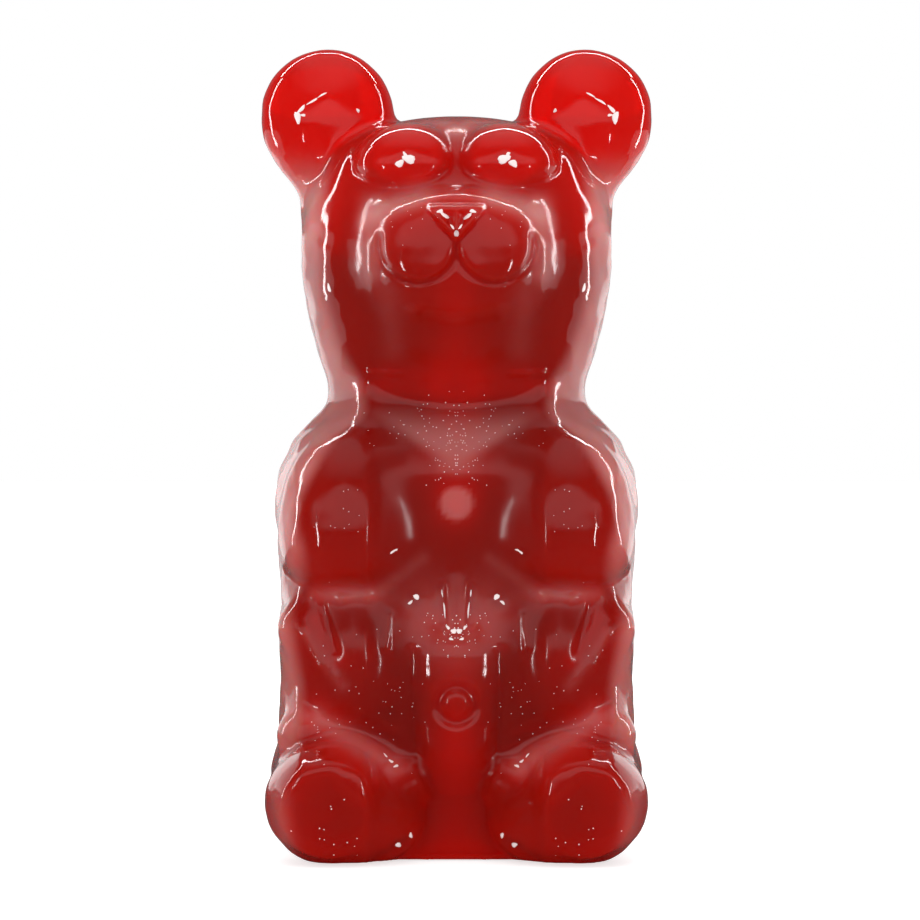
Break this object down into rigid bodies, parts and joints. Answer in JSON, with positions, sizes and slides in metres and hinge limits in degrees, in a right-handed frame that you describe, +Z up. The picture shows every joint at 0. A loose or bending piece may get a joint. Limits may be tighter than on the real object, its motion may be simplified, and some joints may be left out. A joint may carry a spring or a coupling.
{
  "type": "gummy bear",
  "caption": "Giant red gummy bear moulded in one piece of glossy, see-through gelatine gum, sitting upright with round ears, raised snout, folded arms and big feet",
  "frame": {"origin": "on the ground it stands on, under the middle of the bear's box", "axes": "+Z up from the ground to the ears, -Y the way the face looks, +X towards the bear's left hand"},
  "size_m": [0.1154, 0.099, 0.24],
  "materials": {
    "gum": "gloss"
  },
  "bodies": {
    "root": {"gummy_bear": "gum"}
  },
  "joints": []
}
